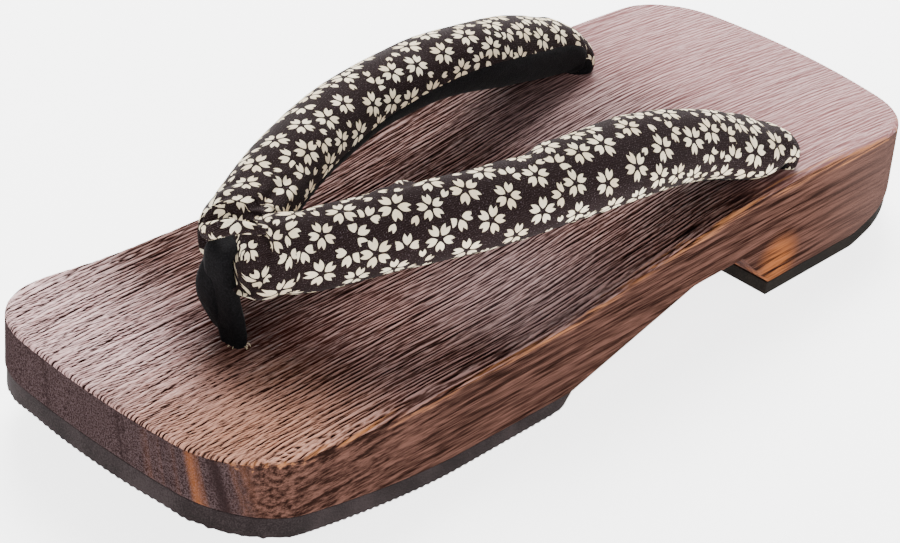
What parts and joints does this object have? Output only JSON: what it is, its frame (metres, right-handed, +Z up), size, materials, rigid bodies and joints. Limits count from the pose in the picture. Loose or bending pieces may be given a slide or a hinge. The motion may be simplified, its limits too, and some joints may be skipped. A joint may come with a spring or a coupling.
{
  "type": "geta sandal",
  "caption": "One wooden geta sandal with a raised waist, rubber outsoles and a padded V strap of blossom-printed cloth held by a black toe post.",
  "frame": {"origin": "bottom centre of the whole sandal's box, on the floor", "axes": "+X from heel to toe, the longest extent; +Y to the wearer's left hand side; +Z up from the floor, the shortest extent"},
  "size_m": [0.265, 0.0946, 0.0648],
  "materials": {
    "wood": "charred and brushed, fine raised grain along the length, dark brown with worn orange edges",
    "front_rubber": "matt dark brown sponge rubber with fine cross ribs underneath",
    "heel_rubber": "matt dark grey sponge rubber",
    "strap_cloth": "dark cotton printed with small cream cherry blossoms, padded, black velvet on the inner side",
    "post_velvet": "black velvet"
  },
  "bodies": {
    "root": {"deck": "wood", "front_outsole": "front_rubber", "heel_outsole": "heel_rubber", "strap": "strap_cloth", "toe_post": "post_velvet"}
  },
  "joints": []
}
